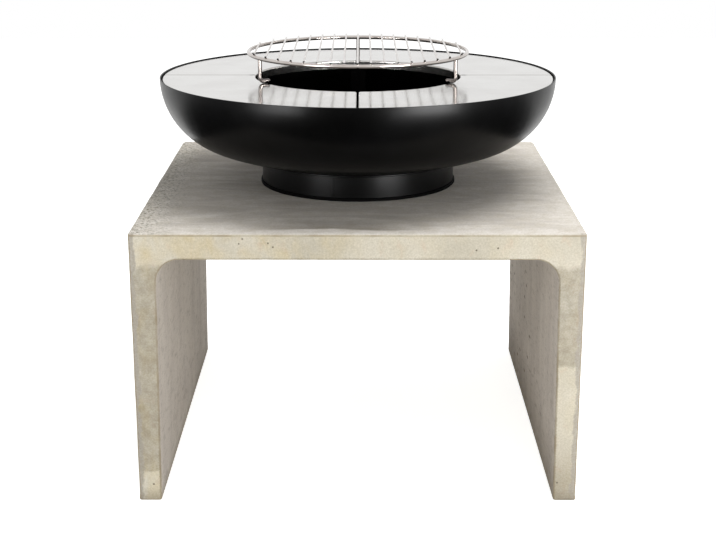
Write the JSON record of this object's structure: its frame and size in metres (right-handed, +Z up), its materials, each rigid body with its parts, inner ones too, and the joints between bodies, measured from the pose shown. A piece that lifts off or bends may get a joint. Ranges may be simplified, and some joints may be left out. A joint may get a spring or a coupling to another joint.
{
  "type": "fire pit table",
  "caption": "Round steel fire bowl with a plancha ring and a raised cooking grate, standing loose on an open concrete side table.",
  "frame": {"origin": "on the ground under the middle of the table", "axes": "+X to the right, +Y to the back along the open tunnel, +Z up"},
  "size_m": [1.03, 1.055, 0.9919],
  "materials": {
    "concrete": "cast concrete, fine sanded, with pits and water marks",
    "reinforcing_steel": "hot rolled, inside the concrete",
    "black_paint": "satin black heat-resistant coating",
    "black_rubber": "matt black extruded profile",
    "plancha_steel": "finely brushed stainless sheet",
    "grate_steel": "polished stainless rod"
  },
  "bodies": {
    "table": {"concrete_table": "concrete", "rebar_hoop_1": "reinforcing_steel", "rebar_hoop_2": "reinforcing_steel", "rebar_hoop_3": "reinforcing_steel", "rebar_hoop_4": "reinforcing_steel", "rebar_hoop_5": "reinforcing_steel", "rebar_left_wall_1": "reinforcing_steel", "rebar_left_wall_2": "reinforcing_steel", "rebar_left_wall_3": "reinforcing_steel", "rebar_right_wall_1": "reinforcing_steel", "rebar_right_wall_2": "reinforcing_steel", "rebar_right_wall_3": "reinforcing_steel", "rebar_slab_1": "reinforcing_steel", "rebar_slab_2": "reinforcing_steel", "rebar_slab_3": "reinforcing_steel", "rebar_slab_4": "reinforcing_steel"},
    "bowl": {"fire_bowl": "black_paint", "foot_ring": "black_paint", "foot_edge_trim": "black_rubber", "support_arm_right": "black_paint", "support_arm_back": "black_paint", "support_arm_left": "black_paint", "support_arm_front": "black_paint"},
    "plate_front_right": {"plancha_plate_front_right": "plancha_steel"},
    "plate_back_right": {"plancha_plate_back_right": "plancha_steel"},
    "plate_back_left": {"plancha_plate_back_left": "plancha_steel"},
    "plate_front_left": {"plancha_plate_front_left": "plancha_steel"},
    "grate": {"grate_ring": "grate_steel", "grate_bar_01": "grate_steel", "grate_bar_02": "grate_steel", "grate_bar_03": "grate_steel", "grate_bar_04": "grate_steel", "grate_bar_05": "grate_steel", "grate_bar_06": "grate_steel", "grate_bar_07": "grate_steel", "grate_bar_08": "grate_steel", "grate_bar_09": "grate_steel", "grate_bar_10": "grate_steel", "grate_bar_11": "grate_steel", "grate_bar_12": "grate_steel", "grate_bar_13": "grate_steel", "grate_bar_14": "grate_steel", "grate_bar_15": "grate_steel", "grate_bar_16": "grate_steel", "grate_bar_17": "grate_steel", "grate_leg_1": "grate_steel", "grate_leg_2": "grate_steel", "grate_leg_3": "grate_steel"}
  },
  "joints": [
    {"name": "bowl_lift", "type": "slide", "parent": "table", "child": "bowl", "axis": [0, 0, 1], "range_m": [0, 0.4]},
    {"name": "plate_lift_front_right", "type": "slide", "parent": "bowl", "child": "plate_front_right", "axis": [0, 0, 1], "range_m": [0, 0.15]},
    {"name": "plate_lift_back_right", "type": "slide", "parent": "bowl", "child": "plate_back_right", "axis": [0, 0, 1], "range_m": [0, 0.15]},
    {"name": "plate_lift_back_left", "type": "slide", "parent": "bowl", "child": "plate_back_left", "axis": [0, 0, 1], "range_m": [0, 0.15]},
    {"name": "plate_lift_front_left", "type": "slide", "parent": "bowl", "child": "plate_front_left", "axis": [0, 0, 1], "range_m": [0, 0.15]},
    {"name": "grate_lift", "type": "slide", "parent": "plate_front_right", "child": "grate", "axis": [0, 0, 1], "range_m": [0, 0.2]}
  ],
  "couplings": [
    {"joint": "plate_lift_back_right", "follows": "plate_lift_front_right", "ratio": 1},
    {"joint": "plate_lift_back_left", "follows": "plate_lift_front_right", "ratio": 1},
    {"joint": "plate_lift_front_left", "follows": "plate_lift_front_right", "ratio": 1}
  ]
}
